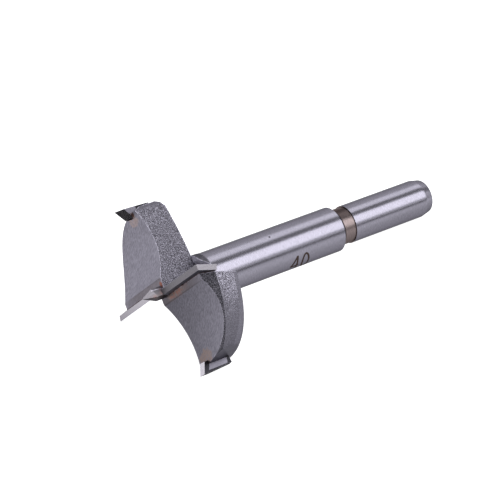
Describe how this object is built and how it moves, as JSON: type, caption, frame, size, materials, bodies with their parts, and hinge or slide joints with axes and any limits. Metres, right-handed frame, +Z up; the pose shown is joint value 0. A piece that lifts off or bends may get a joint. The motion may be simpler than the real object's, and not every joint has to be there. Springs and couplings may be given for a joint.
{
  "type": "forstner bit",
  "caption": "Two-wing hinge-boring drill bit with a centre point, brazed hard-metal cutters and scoring spurs, a turned stem and a thinner chucking end; lies on its side.",
  "frame": {"origin": "on the surface that the bit lies on, under the middle of its bounding box", "axes": "+Z up from that surface, +X towards the chucking end, level, over the bit's axis; the centre point looks towards -X and a little up"},
  "size_m": [0.0762, 0.0376, 0.0291],
  "materials": {
    "steel": "shot-blasted and ground tool steel, bright turned stem with a brown heat-tinted neck",
    "hard_metal": "finely ground sintered hard metal",
    "braze": "copper-brown brazing filler"
  },
  "bodies": {
    "root": {"bit_body": "steel", "main_cutter_a": "hard_metal", "spur_a": "hard_metal", "braze_main_a": "braze", "braze_spur_a": "braze", "main_cutter_b": "hard_metal", "spur_b": "hard_metal", "braze_main_b": "braze", "braze_spur_b": "braze"}
  },
  "joints": []
}
